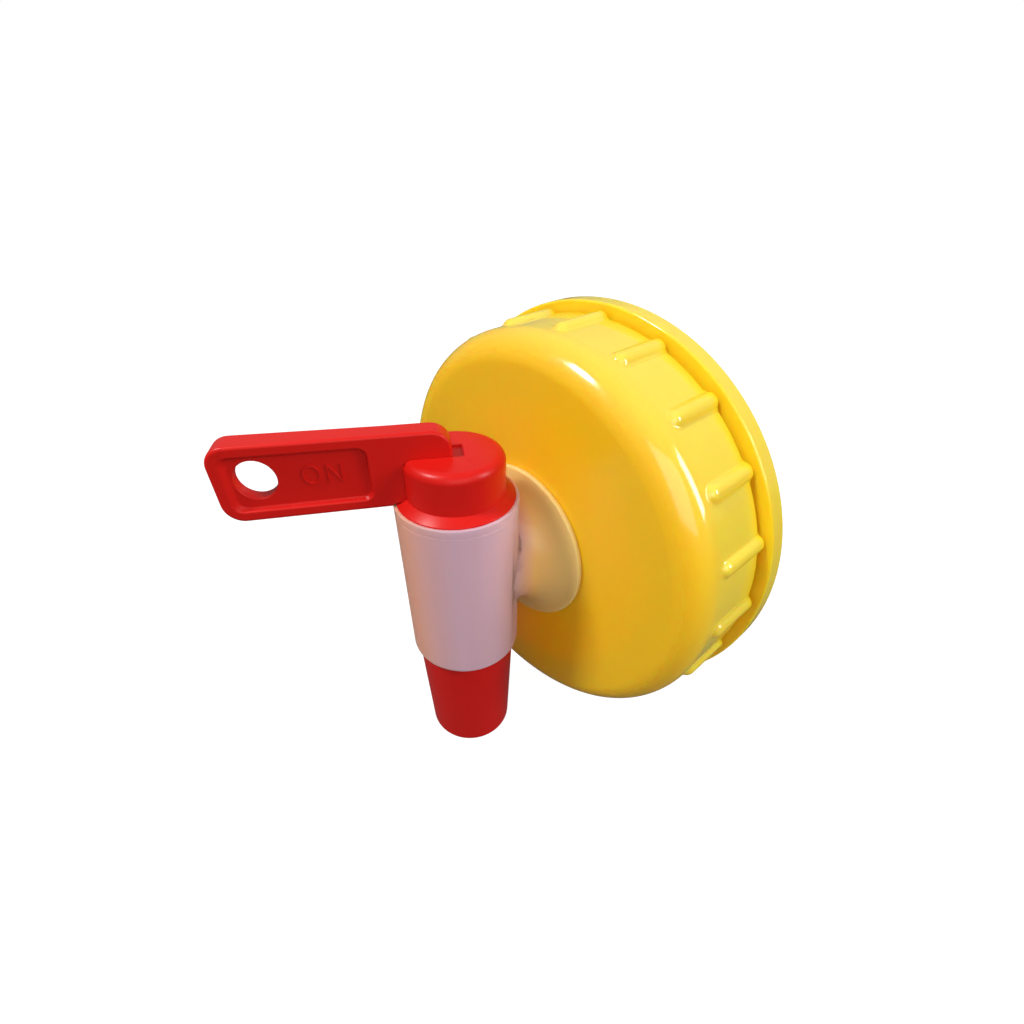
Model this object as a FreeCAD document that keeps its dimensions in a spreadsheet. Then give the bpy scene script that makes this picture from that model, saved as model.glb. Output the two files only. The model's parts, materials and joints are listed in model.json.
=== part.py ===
import FreeCAD, Part
import math
import os

import Sketcher

# Lever drum tap: a screw cap for a container's neck with a plug tap through its middle.
# Millimetres. Z is up, the cap's axis is Y, and the container's neck comes in from +Y.
# The origin is on the cap's axis, in the plane where the skirt and its thread end.
# The barrel of the tap stands upright in front of the cap, and the plug turns in it.

os.makedirs("parts", exist_ok=True)
document = FreeCAD.newDocument("lever_drum_tap")

# Driving sizes, each set once.
SIZES = [
    # Screw cap
    ("cap_radius", 33.7),
    ("skirt_depth", 14.6),
    ("cap_plate", 2.2),
    ("cap_shoulder", 4.3),
    ("skirt_wall", 3.0),
    ("thread_length", 6.4),
    ("seat_step", 0.7),
    ("rib_count", 20),
    ("rib_round", 1.5),
    ("rib_height", 0.8),
    ("rib_start", 4.9),
    ("rib_turn", 0.95),
    # Tamper band behind the skirt
    ("band_stand_out", 1.7),
    ("band_gap", 0.6),
    ("band_depth", 3.1),
    ("band_web", 1.3),
    ("band_wall", 1.7),
    ("band_lip", 0.5),
    ("band_bevel", 0.45),
    ("bridge_count", 10),
    ("bridge_angle", 2.6),
    ("bridge_height", 0.9),
    # Liner against the rim of the neck
    ("liner_width", 5.2),
    ("liner_thickness", 1.5),
    ("liner_clearance", 0.1),
    # Tap body: barrel, stub, bell flange and threaded spigot
    ("barrel_offset", 13.2),
    ("barrel_radius", 9.05),
    ("barrel_top", 14.65),
    ("barrel_foot", 14.3),
    ("barrel_bore", 7.75),
    ("barrel_rounding", 0.9),
    ("mouth_bevel", 0.25),
    ("bell_radius", 13.95),
    ("bell_rim", 0.9),
    ("bell_bevel", 0.35),
    ("stub_radius", 8.2),
    ("spigot_radius", 8.4),
    ("spigot_bore", 6.8),
    ("port_radius", 5.0),
    ("port_wall", 0.4),
    ("spigot_stand_out", 0.5),
    ("spigot_clearance", 0.2),
    # Washer and nut behind the cap's plate
    ("washer_width", 3.8),
    ("washer_thickness", 1.5),
    ("nut_corner_wall", 5.15),
    ("nut_thickness", 3.6),
    ("nut_clearance", 0.05),
    ("nut_bevel", 0.9),
    # Plug: head, rim flange, core and spout
    ("plug_clearance", 0.05),
    ("flange_radius", 8.7),
    ("flange_edge", 0.35),
    ("flange_slope", 0.25),
    ("head_radius", 6.9),
    ("head_height", 6.4),
    ("head_rounding", 1.4),
    ("spout_shoulder", 8.25),
    ("shoulder_gap", 0.1),
    ("spout_length", 22.2),
    ("spout_end_radius", 7.45),
    ("spout_bevel", 0.7),
    ("passage_radius", 5.0),
    ("passage_above", 6.5),
    ("outlet_bore", 6.0),
    ("outlet_depth", 20.2),
    ("window_radius", 4.9),
    # Seals of the plug
    ("seal_section", 1.42),
    ("seal_gap", 0.04),
    ("seal_groove", 1.6),
    ("seal_height", 11.7),
    # Turn stop: a lug below the flange runs in a half-round step of the barrel's mouth
    ("stop_radius", 8.55),
    ("stop_depth", 1.3),
    ("stop_clearance", 0.1),
    ("lug_angle", 24),
    ("lever_travel", 180),
    ("stop_play", 2),
    # Lever blade, and how far it stands turned from ON
    ("lever_turn", 57),
    ("blade_thickness", 3.4),
    ("blade_height", 10.35),
    ("blade_reach", 31.35),
    ("blade_root", 0.15),
    ("blade_corner", 2.8),
    ("blade_root_corner", 2.2),
    ("blade_edge", 0.4),
    ("blade_clearance", 0.05),
    ("notch_length", 1.4),
    ("tang_length", 4.4),
    ("tang_depth", 4.6),
    ("frame_width", 1.5),
    ("web_thickness", 1.7),
    ("pocket_start", 11.4),
    ("pocket_corner", 1.3),
    ("pocket_edge", 0.3),
    ("eye_radius", 2.75),
    ("eye_from_end", 5.3),
]

# Places worked out from the driving sizes, each from those above it.
PLACES = [
    # Along the cap's axis
    ("face_place", "-skirt_depth"),
    ("shoulder_place", "face_place + cap_shoulder"),
    ("plate_place", "face_place + cap_plate"),
    ("thread_place", "-thread_length"),
    ("liner_place", "plate_place + liner_thickness"),
    ("washer_place", "plate_place + washer_thickness"),
    ("nut_place", "washer_place + nut_thickness"),
    ("nut_middle", "washer_place + nut_thickness / 2"),
    ("nut_bevel_place", "nut_place - nut_bevel / 2"),
    ("barrel_place", "face_place - barrel_offset"),
    ("rib_tip", "face_place + rib_start"),
    ("rib_centre", "rib_tip + rib_round"),
    ("band_rear", "band_gap + band_depth"),
    ("band_web_rear", "band_gap + band_web"),
    ("band_front_edge", "band_gap + band_bevel"),
    ("band_rear_edge", "band_rear - band_bevel"),
    # Radii about the cap's axis
    ("plate_corner", "cap_radius - cap_shoulder"),
    ("thread_radius", "cap_radius - skirt_wall"),
    ("seat_radius", "thread_radius - seat_step"),
    ("hole_radius", "spigot_radius + spigot_clearance"),
    ("rib_crest", "cap_radius + rib_height"),
    ("rib_axis", "rib_crest - rib_round"),
    ("band_radius", "cap_radius + band_stand_out"),
    ("band_lip_radius", "thread_radius + band_lip"),
    ("band_wall_inner", "band_radius - band_wall"),
    ("band_edge_radius", "band_radius - band_bevel"),
    ("bridge_inner", "(cap_radius + thread_radius - bridge_height) / 2"),
    ("bridge_outer", "bridge_inner + bridge_height"),
    ("liner_outer", "seat_radius - liner_clearance"),
    ("liner_inner", "liner_outer - liner_width"),
    ("washer_radius", "hole_radius + washer_width"),
    ("nut_bore", "spigot_radius + nut_clearance"),
    ("nut_corner_radius", "nut_bore + nut_corner_wall"),
    ("nut_bevel_radius", "nut_corner_radius - nut_bevel"),
    ("nut_outside", "nut_corner_radius + nut_bevel"),
    # Tap body, in its own frame: Z is the barrel's axis, and Y the inlet's
    ("bell_front", "barrel_offset - bell_rim"),
    ("bell_edge_place", "bell_front + bell_bevel"),
    ("flare_side", "bell_radius - bell_bevel"),
    ("flare_centre", "bell_front - flare_side + stub_radius"),
    ("spigot_end", "barrel_offset + nut_place - face_place + spigot_stand_out"),
    ("chamber_start", "barrel_radius + port_wall"),
    ("barrel_low", "-barrel_foot"),
    ("barrel_foot_edge", "barrel_radius - barrel_rounding"),
    ("barrel_foot_side", "barrel_low + barrel_rounding"),
    ("mouth_edge", "barrel_radius - mouth_bevel"),
    ("mouth_side", "barrel_top - mouth_bevel"),
    ("stop_floor", "barrel_top - stop_depth"),
    ("stop_sweep", "lever_travel + lug_angle + stop_play"),
    # Plug, on the same axis
    ("core_radius", "barrel_bore - plug_clearance"),
    ("flange_top", "barrel_top + flange_edge"),
    ("head_foot", "flange_top + flange_slope"),
    ("head_top", "head_foot + head_height"),
    ("head_edge", "head_radius - head_rounding"),
    ("head_side", "head_top - head_rounding"),
    ("shoulder_top", "barrel_low - shoulder_gap"),
    ("spout_end", "shoulder_top - spout_length"),
    ("spout_lip", "spout_end_radius - spout_bevel"),
    ("spout_side", "spout_end + spout_bevel"),
    ("outlet_top", "spout_end + outlet_depth"),
    ("passage_step", "outlet_top + outlet_bore - passage_radius"),
    ("seal_outer", "barrel_bore - seal_gap"),
    ("seal_inner", "seal_outer - seal_section"),
    ("seal_top", "seal_height + seal_section / 2"),
    ("seal_foot", "seal_top - seal_section"),
    ("groove_floor", "seal_inner - seal_gap"),
    ("upper_groove_top", "seal_height + seal_groove / 2"),
    ("upper_groove_foot", "upper_groove_top - seal_groove"),
    ("lug_radius", "stop_radius - stop_clearance"),
    ("lug_foot", "stop_floor + stop_clearance"),
    # Lever and its slot in the plug's head: in the plug's frame the blade points to -X
    ("blade_high", "flange_top + blade_height"),
    ("blade_tip_side", "flange_top + blade_corner"),
    ("blade_tip_top", "blade_high - blade_corner"),
    ("blade_tip_edge", "blade_reach - blade_corner"),
    ("blade_root_edge", "blade_root + blade_root_corner"),
    ("blade_root_side", "blade_high - blade_root_corner"),
    ("notch_end", "notch_length - blade_root"),
    ("slot_width", "blade_thickness + 2 * blade_clearance"),
    ("slot_open", "flange_radius + flange_edge"),
    ("slot_high", "head_top + head_rounding"),
    ("tang_front", "blade_root + tang_length"),
    ("tang_low", "flange_top - tang_depth"),
    ("mortise_front", "tang_front + blade_clearance"),
    ("mortise_rear", "blade_root - blade_clearance"),
    ("mortise_low", "tang_low - blade_clearance"),
    ("pocket_far", "blade_reach - frame_width"),
    ("pocket_low", "flange_top + frame_width"),
    ("pocket_high", "blade_high - frame_width"),
    ("web_near", "pocket_start - frame_width / 2"),
    ("web_far", "pocket_far + frame_width / 2"),
    ("web_low", "pocket_low - frame_width / 2"),
    ("web_high", "pocket_high + frame_width / 2"),
    ("eye_place", "blade_reach - eye_from_end"),
    ("eye_height", "flange_top + blade_height / 2"),
]

# One sheet holds both: the numbers first, then the formulas that follow from them.
sheet = document.addObject("Spreadsheet::Sheet", "Sizes")
for row, (alias, size) in enumerate(SIZES, start=1):
    sheet.set(f"A{row}", alias)
    sheet.set(f"B{row}", str(size))
    sheet.setAlias(f"B{row}", alias)
for row, (alias, formula) in enumerate(PLACES, start=1):
    sheet.set(f"D{row}", alias)
    sheet.set(f"E{row}", "=" + formula)
    sheet.setAlias(f"E{row}", alias)
document.recompute()


def value(name):
    """The present value of a size or place, or of its opposite where the name has a minus."""
    if name == "0":
        return 0.0
    if name.startswith("-"):
        return -float(sheet.get(name[1:]))
    return float(sheet.get(name))


def link(name):
    """The expression that ties a property to a size or place."""
    if name.startswith("-"):
        return f"-Sizes.{name[1:]}"
    return f"Sizes.{name}"


# Building steps that the pieces share.


def new_body(label):
    body = document.addObject("PartDesign::Body", label)
    body.Label = label
    return body


def new_sketch(body, name, plane):
    """A sketch on one of the body's own origin planes."""
    sketch = body.newObject("Sketcher::SketchObject", name)
    for feature in body.Origin.OriginFeatures:
        if feature.Role == plane:
            sketch.AttachmentSupport = (feature, [""])
    sketch.MapMode = "FlatFace"
    return sketch


def hold(sketch, point, across, up):
    """Fix a point of a sketch by its distances from the origin. None leaves one free."""
    for kind, axis, name in (("DistanceX", -2, across), ("DistanceY", -1, up)):
        if name is None:
            continue
        if name == "0":
            sketch.addConstraint(Sketcher.Constraint("PointOnObject", *point, axis))
        else:
            index = sketch.addConstraint(Sketcher.Constraint(kind, -1, 1, *point, value(name)))
            sketch.setExpression(f"Constraints[{index}]", link(name))


def quarter_arc(start, end, centre):
    """A quarter circle, and which of its ends are the start and the end of the side."""
    turn_start = math.atan2(start.y - centre.y, start.x - centre.x)
    turn_end = math.atan2(end.y - centre.y, end.x - centre.x)
    circle = Part.Circle(centre, FreeCAD.Vector(0, 0, 1), (start - centre).Length)
    if (turn_end - turn_start) % (2 * math.pi) < math.pi:
        return Part.ArcOfCircle(circle, turn_start, turn_end), 1, 2
    return Part.ArcOfCircle(circle, turn_end, turn_start), 2, 1


def outline(sketch, corners):
    """A closed outline through corners (across, up).

    A third word makes the side from that corner to the next a quarter circle: "over" puts its
    centre straight over or under this corner, and "beside" puts it level with this corner.
    """
    count = len(corners)
    points = [FreeCAD.Vector(value(corner[0]), value(corner[1]), 0) for corner in corners]
    first = sketch.GeometryCount
    ends = []
    for index, corner in enumerate(corners):
        start = points[index]
        end = points[(index + 1) % count]
        if len(corner) == 2:
            sketch.addGeometry(Part.LineSegment(start, end))
            ends.append((1, 2))
            continue
        if corner[2] == "over":
            centre = FreeCAD.Vector(start.x, end.y, 0)
        else:
            centre = FreeCAD.Vector(end.x, start.y, 0)
        arc, start_end, far_end = quarter_arc(start, end, centre)
        sketch.addGeometry(arc)
        ends.append((start_end, far_end))
    for index in range(count):
        after = (index + 1) % count
        joined = (first + index, ends[index][1], first + after, ends[after][0])
        sketch.addConstraint(Sketcher.Constraint("Coincident", *joined))
    for index, corner in enumerate(corners):
        side = first + index
        start_end, far_end = ends[index]
        came_round = len(corners[index - 1]) == 3
        if not came_round:
            hold(sketch, (side, start_end), corner[0], corner[1])
        if len(corner) == 2:
            continue
        across, up = corners[(index + 1) % count][:2]
        if corner[2] == "over":
            sketch.addConstraint(Sketcher.Constraint("Vertical", side, 3, side, start_end))
            sketch.addConstraint(Sketcher.Constraint("Horizontal", side, 3, side, far_end))
            hold(sketch, (side, far_end), None, up)
        else:
            sketch.addConstraint(Sketcher.Constraint("Horizontal", side, 3, side, start_end))
            sketch.addConstraint(Sketcher.Constraint("Vertical", side, 3, side, far_end))
            hold(sketch, (side, far_end), across, None)


def rectangle(sketch, left, right, low, high):
    outline(sketch, [(left, low), (right, low), (right, high), (left, high)])


def circle(sketch, across, up, radius):
    centre = FreeCAD.Vector(value(across), value(up), 0)
    drawn = sketch.addGeometry(Part.Circle(centre, FreeCAD.Vector(0, 0, 1), value(radius)))
    hold(sketch, (drawn, 3), across, up)
    index = sketch.addConstraint(Sketcher.Constraint("Radius", drawn, value(radius)))
    sketch.setExpression(f"Constraints[{index}]", link(radius))


def turned(body, kind, name, sketch, axis="V_Axis", angle=None):
    """A Revolution or a Groove about an axis of its sketch: a full turn, or an angle of it
    that lies half on each side of the sketch."""
    feature = body.newObject("PartDesign::" + kind, name)
    feature.Profile = sketch
    feature.ReferenceAxis = (sketch, [axis])
    if angle is None:
        feature.Angle = 360
    else:
        feature.Midplane = True
        feature.setExpression("Angle", link(angle))
    return feature


def extruded(body, kind, name, sketch, length):
    """A Pad or a Pocket that reaches equally far on both sides of its sketch."""
    feature = body.newObject("PartDesign::" + kind, name)
    feature.Profile = sketch
    feature.SideType = "Symmetric"
    feature.setExpression("Length", link(length))
    return feature


def turned_ring(body, kind, name, inner, outer, front, rear):
    """A ring, or a round hole where the inner radius is 0, about the body's own Y axis."""
    sketch = new_sketch(body, name + "_outline", "XY_Plane")
    rectangle(sketch, inner, outer, front, rear)
    return turned(body, kind, name, sketch)


def repeated(body, name, feature, count):
    """Copies of a feature round the body's Y axis."""
    pattern = body.newObject("PartDesign::PolarPattern", name)
    pattern.Originals = [feature]
    for item in body.Origin.OriginFeatures:
        if item.Role == "Y_Axis":
            pattern.Axis = (item, [""])
    pattern.Angle = 360
    pattern.setExpression("Occurrences", link(count))
    body.Tip = pattern
    return pattern


def rounded(body, name, chosen, size):
    """A fillet on the edges of the body's present shape that a test picks."""
    document.recompute()
    base = body.Tip
    names = [f"Edge{place}" for place, edge in enumerate(base.Shape.Edges, start=1) if chosen(edge)]
    fillet = body.newObject("PartDesign::Fillet", name)
    fillet.Base = (base, names)
    fillet.setExpression("Radius", link(size))
    return fillet


def put_on_barrel_axis(body, turn=None):
    """Place a piece by the barrel's axis, turned about it by the named angle."""
    if turn is None:
        body.setExpression("Placement.Base.y", link("barrel_place"))
        return
    upright = FreeCAD.Vector(0, 0, 1)
    body.Placement = FreeCAD.Placement(
        FreeCAD.Vector(0, value("barrel_place"), 0), FreeCAD.Rotation(upright, value(turn))
    )
    body.setExpression("Placement.Base.y", link("barrel_place"))
    body.setExpression("Placement.Rotation.Angle", link(turn))


def make_screw_cap():
    """The yellow cap: a plate with a rounded shoulder, a skirt for the neck's thread, a hole
    for the tap's spigot, and grip ribs with round ends that stand on the skirt."""
    body = new_body("screw_cap")
    shell = new_sketch(body, "cap_section", "XY_Plane")
    outline(
        shell,
        [
            ("hole_radius", "face_place"),
            ("plate_corner", "face_place", "over"),
            ("cap_radius", "shoulder_place"),
            ("cap_radius", "0"),
            ("thread_radius", "0"),
            ("thread_radius", "thread_place"),
            ("seat_radius", "thread_place"),
            ("seat_radius", "plate_place"),
            ("hole_radius", "plate_place"),
        ],
    )
    turned(body, "Revolution", "cap_shell", shell)
    # A rib is half a round bar, sunk in the skirt, whose front end is a ball.
    bar = new_sketch(body, "rib_section", "YZ_Plane")
    outline(
        bar,
        [
            ("rib_tip", "rib_axis", "beside"),
            ("rib_centre", "rib_crest"),
            ("0", "rib_crest"),
            ("0", "rib_axis"),
        ],
    )
    axis = Part.LineSegment(
        FreeCAD.Vector(value("rib_tip"), value("rib_axis"), 0), FreeCAD.Vector(0, value("rib_axis"), 0)
    )
    line = bar.addGeometry(axis, True)
    hold(bar, (line, 1), "rib_tip", "rib_axis")
    hold(bar, (line, 2), "0", "rib_axis")
    rib = turned(body, "Revolution", "grip_rib", bar, "Axis0")
    repeated(body, "grip_ribs", rib, "rib_count")
    about_cap = FreeCAD.Vector(0, 1, 0)
    body.Placement = FreeCAD.Placement(FreeCAD.Vector(), FreeCAD.Rotation(about_cap, value("rib_turn")))
    body.setExpression("Placement.Rotation.Angle", link("rib_turn"))
    return body


def make_tamper_band():
    """The ring behind the skirt that stays on the neck: a web with a lip, a rim wider than
    the skirt, and thin bridges across the crevice."""
    body = new_body("tamper_band")
    section = new_sketch(body, "band_section", "XY_Plane")
    outline(
        section,
        [
            ("band_lip_radius", "band_gap"),
            ("band_edge_radius", "band_gap"),
            ("band_radius", "band_front_edge"),
            ("band_radius", "band_rear_edge"),
            ("band_edge_radius", "band_rear"),
            ("band_wall_inner", "band_rear"),
            ("band_wall_inner", "band_web_rear"),
            ("band_lip_radius", "band_web_rear"),
        ],
    )
    turned(body, "Revolution", "band_ring", section)
    web = new_sketch(body, "bridge_section", "XY_Plane")
    rectangle(web, "bridge_inner", "bridge_outer", "0", "band_gap")
    bridge = turned(body, "Revolution", "bridge", web, angle="bridge_angle")
    repeated(body, "bridges", bridge, "bridge_count")
    return body


def make_cap_liner():
    """The flat sealing ring on the inside of the plate, against the rim of the neck."""
    body = new_body("cap_liner")
    turned_ring(body, "Revolution", "liner_ring", "liner_inner", "liner_outer", "plate_place", "liner_place")
    return body


def make_spigot_washer():
    """The soft washer between the plate and the nut."""
    body = new_body("spigot_washer")
    turned_ring(
        body, "Revolution", "washer_ring", "hole_radius", "washer_radius", "plate_place", "washer_place"
    )
    return body


def make_retaining_nut():
    """The hexagon nut that holds the tap in the cap, with its outer corners turned off."""
    body = new_body("retaining_nut")
    hexagon = new_sketch(body, "nut_hexagon", "XZ_Plane")
    hexagon.setExpression("AttachmentOffset.Base.z", link("-nut_middle"))
    corner_count = 6
    points = []
    for corner in range(corner_count):
        angle = 2 * math.pi * corner / corner_count
        reach = value("nut_corner_radius")
        points.append(FreeCAD.Vector(reach * math.cos(angle), reach * math.sin(angle), 0))
    for corner in range(corner_count):
        hexagon.addGeometry(Part.LineSegment(points[corner], points[(corner + 1) % corner_count]))
    round_corners = Part.Circle(FreeCAD.Vector(), FreeCAD.Vector(0, 0, 1), value("nut_corner_radius"))
    reach = hexagon.addGeometry(round_corners, True)
    hexagon.addConstraint(Sketcher.Constraint("Coincident", reach, 3, -1, 1))
    index = hexagon.addConstraint(Sketcher.Constraint("Radius", reach, value("nut_corner_radius")))
    hexagon.setExpression(f"Constraints[{index}]", link("nut_corner_radius"))
    for corner in range(corner_count):
        after = (corner + 1) % corner_count
        hexagon.addConstraint(Sketcher.Constraint("Coincident", corner, 2, after, 1))
        hexagon.addConstraint(Sketcher.Constraint("PointOnObject", corner, 1, reach))
        if corner:
            hexagon.addConstraint(Sketcher.Constraint("Equal", 0, corner))
    hexagon.addConstraint(Sketcher.Constraint("PointOnObject", 0, 1, -1))
    extruded(body, "Pad", "nut_block", hexagon, "nut_thickness")
    corner_cut = new_sketch(body, "nut_bevel_section", "XY_Plane")
    outline(
        corner_cut,
        [
            ("nut_bevel_radius", "nut_place"),
            ("nut_outside", "nut_bevel_place"),
            ("nut_outside", "nut_place"),
        ],
    )
    turned(body, "Groove", "nut_corner_bevel", corner_cut)
    turned_ring(body, "Groove", "nut_bore_cut", "0", "nut_bore", "washer_place", "nut_place")
    return body


def make_tap_body():
    """The natural plastic body: an upright barrel, a stub that flares into the bell flange
    on the cap's face, and the spigot that goes through the cap to the nut."""
    body = new_body("tap_body")
    barrel = new_sketch(body, "barrel_section", "XZ_Plane")
    outline(
        barrel,
        [
            ("0", "barrel_low"),
            ("barrel_foot_edge", "barrel_low", "over"),
            ("barrel_radius", "barrel_foot_side"),
            ("barrel_radius", "mouth_side"),
            ("mouth_edge", "barrel_top"),
            ("0", "barrel_top"),
        ],
    )
    turned(body, "Revolution", "barrel", barrel)
    bell = new_sketch(body, "bell_section", "XY_Plane")
    outline(
        bell,
        [
            ("0", "0"),
            ("stub_radius", "0"),
            ("stub_radius", "flare_centre", "beside"),
            ("flare_side", "bell_front"),
            ("bell_radius", "bell_edge_place"),
            ("bell_radius", "barrel_offset"),
            ("spigot_radius", "barrel_offset"),
            ("spigot_radius", "spigot_end"),
            ("0", "spigot_end"),
        ],
    )
    turned(body, "Revolution", "bell_and_spigot", bell)
    bore = new_sketch(body, "barrel_bore_section", "XZ_Plane")
    rectangle(bore, "0", "barrel_bore", "barrel_low", "barrel_top")
    turned(body, "Groove", "barrel_bore_cut", bore)
    # The step that the plug's lug runs in lies on the side of the cap.
    step = new_sketch(body, "stop_step_section", "YZ_Plane")
    rectangle(step, "0", "stop_radius", "stop_floor", "barrel_top")
    turned(body, "Groove", "stop_step", step, angle="stop_sweep")
    turned_ring(body, "Groove", "inlet_port", "0", "port_radius", "0", "spigot_end")
    turned_ring(body, "Groove", "inlet_chamber", "0", "spigot_bore", "chamber_start", "spigot_end")
    put_on_barrel_axis(body)
    return body


def make_plug():
    """The red plug: head with the lever's slot, rim flange over the barrel's mouth, hollow
    core with a window and two seal grooves, a snap shoulder under the barrel, and the spout."""
    body = new_body("plug")
    section = new_sketch(body, "plug_section", "XZ_Plane")
    outline(
        section,
        [
            ("outlet_bore", "spout_end"),
            ("spout_lip", "spout_end"),
            ("spout_end_radius", "spout_side"),
            ("spout_shoulder", "shoulder_top"),
            ("core_radius", "shoulder_top"),
            ("core_radius", "-upper_groove_top"),
            ("groove_floor", "-upper_groove_top"),
            ("groove_floor", "-upper_groove_foot"),
            ("core_radius", "-upper_groove_foot"),
            ("core_radius", "upper_groove_foot"),
            ("groove_floor", "upper_groove_foot"),
            ("groove_floor", "upper_groove_top"),
            ("core_radius", "upper_groove_top"),
            ("core_radius", "barrel_top"),
            ("flange_radius", "barrel_top"),
            ("flange_radius", "flange_top"),
            ("head_radius", "head_foot"),
            ("head_radius", "head_side", "beside"),
            ("head_edge", "head_top"),
            ("0", "head_top"),
            ("0", "passage_above"),
            ("passage_radius", "passage_above"),
            ("passage_radius", "passage_step"),
            ("outlet_bore", "outlet_top"),
        ],
    )
    turned(body, "Revolution", "plug_shape", section)
    lug = new_sketch(body, "stop_lug_section", "XZ_Plane")
    rectangle(lug, "groove_floor", "lug_radius", "lug_foot", "barrel_top")
    turned(body, "Revolution", "stop_lug", lug, angle="lug_angle")
    # At ON the window faces the inlet port, square to the lever.
    turned_ring(body, "Groove", "window", "0", "window_radius", "0", "barrel_bore")
    slot = new_sketch(body, "slot_outline", "XZ_Plane")
    rectangle(slot, "-slot_open", "notch_end", "flange_top", "slot_high")
    extruded(body, "Pocket", "lever_slot", slot, "slot_width")
    mortise = new_sketch(body, "mortise_outline", "XZ_Plane")
    rectangle(mortise, "-mortise_front", "-mortise_rear", "mortise_low", "slot_high")
    extruded(body, "Pocket", "lever_mortise", mortise, "slot_width")
    put_on_barrel_axis(body, "lever_turn")
    return body


def rounded_rectangle(sketch, left, right, low, high, corner):
    """A rectangle whose four corners are tangent arcs of one radius."""
    x_low, x_high, z_low, z_high = value(left), value(right), value(low), value(high)
    size = value(corner)
    # Each side, then the centre and the starting angle of the arc that follows it.
    runs = [
        ((x_low + size, z_low), (x_high - size, z_low), (x_high - size, z_low + size), -math.pi / 2),
        ((x_high, z_low + size), (x_high, z_high - size), (x_high - size, z_high - size), 0),
        ((x_high - size, z_high), (x_low + size, z_high), (x_low + size, z_high - size), math.pi / 2),
        ((x_low, z_high - size), (x_low, z_low + size), (x_low + size, z_low + size), math.pi),
    ]
    sides = []
    arcs = []
    for start, end, centre, angle in runs:
        side = Part.LineSegment(FreeCAD.Vector(*start, 0), FreeCAD.Vector(*end, 0))
        sides.append(sketch.addGeometry(side))
        round_corner = Part.Circle(FreeCAD.Vector(*centre, 0), FreeCAD.Vector(0, 0, 1), size)
        arcs.append(sketch.addGeometry(Part.ArcOfCircle(round_corner, angle, angle + math.pi / 2)))
    for place, (side, arc) in enumerate(zip(sides, arcs)):
        after = sides[(place + 1) % len(sides)]
        sketch.addConstraint(Sketcher.Constraint("Tangent", side, 2, arc, 1))
        sketch.addConstraint(Sketcher.Constraint("Tangent", arc, 2, after, 1))
        if place:
            sketch.addConstraint(Sketcher.Constraint("Equal", arcs[0], arc))
    foot_side, right_side, top_side, left_side = sides
    sketch.addConstraint(Sketcher.Constraint("Horizontal", foot_side))
    sketch.addConstraint(Sketcher.Constraint("Vertical", right_side))
    hold(sketch, (foot_side, 1), None, low)
    hold(sketch, (right_side, 1), right, None)
    hold(sketch, (top_side, 1), None, high)
    hold(sketch, (left_side, 1), left, None)
    index = sketch.addConstraint(Sketcher.Constraint("Radius", arcs[0], size))
    sketch.setExpression(f"Constraints[{index}]", link(corner))


def make_lever():
    """The red lever: a blade with a tang in the plug's head, a pocket on each face between
    its frame and its web, and an eye through the web near its end."""
    body = new_body("lever")
    blade = new_sketch(body, "blade_outline", "XZ_Plane")
    outline(
        blade,
        [
            ("-blade_root", "tang_low"),
            ("-blade_root", "blade_root_side", "beside"),
            ("-blade_root_edge", "blade_high"),
            ("-blade_tip_edge", "blade_high", "over"),
            ("-blade_reach", "blade_tip_top"),
            ("-blade_reach", "blade_tip_side", "beside"),
            ("-blade_tip_edge", "flange_top"),
            ("-tang_front", "flange_top"),
            ("-tang_front", "tang_low"),
        ],
    )
    extruded(body, "Pad", "blade", blade, "blade_thickness")

    def on_blade_side(edge):
        box = edge.BoundBox
        half = value("blade_thickness") / 2
        flat = abs(abs(box.YMin) - half) < 1e-4 and abs(box.YMax - box.YMin) < 1e-4
        return flat and box.ZMin > value("flange_top") - 1e-4

    rounded(body, "blade_edges", on_blade_side, "blade_edge")
    pocket = new_sketch(body, "pocket_outline", "XZ_Plane")
    rounded_rectangle(pocket, "-pocket_far", "-pocket_start", "pocket_low", "pocket_high", "pocket_corner")
    extruded(body, "Pocket", "pocket_cut", pocket, "blade_thickness")

    def on_pocket_rim(edge):
        box = edge.BoundBox
        inside = box.XMin > -value("pocket_far") - 1e-4 and box.XMax < -value("pocket_start") + 1e-4
        level = box.ZMin > value("pocket_low") - 1e-4 and box.ZMax < value("pocket_high") + 1e-4
        return on_blade_side(edge) and inside and level

    rounded(body, "pocket_edges", on_pocket_rim, "pocket_edge")
    web = new_sketch(body, "web_outline", "XZ_Plane")
    rectangle(web, "-web_far", "-web_near", "web_low", "web_high")
    extruded(body, "Pad", "web", web, "web_thickness")
    eye = new_sketch(body, "eye_outline", "XZ_Plane")
    circle(eye, "-eye_place", "eye_height", "eye_radius")
    extruded(body, "Pocket", "eye", eye, "blade_thickness")
    put_on_barrel_axis(body, "lever_turn")
    return body


def make_plug_seal(label, low, high):
    """A sealing ring of square section in one of the plug's grooves."""
    body = new_body(label)
    section = new_sketch(body, "ring_section", "XZ_Plane")
    rectangle(section, "seal_inner", "seal_outer", low, high)
    turned(body, "Revolution", "ring", section)
    put_on_barrel_axis(body)
    return body


pieces = [
    make_screw_cap(),
    make_tamper_band(),
    make_cap_liner(),
    make_spigot_washer(),
    make_retaining_nut(),
    make_tap_body(),
    make_plug(),
    make_lever(),
    make_plug_seal("upper_plug_seal", "seal_foot", "seal_top"),
    make_plug_seal("lower_plug_seal", "-seal_top", "-seal_foot"),
]
document.recompute()

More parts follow.
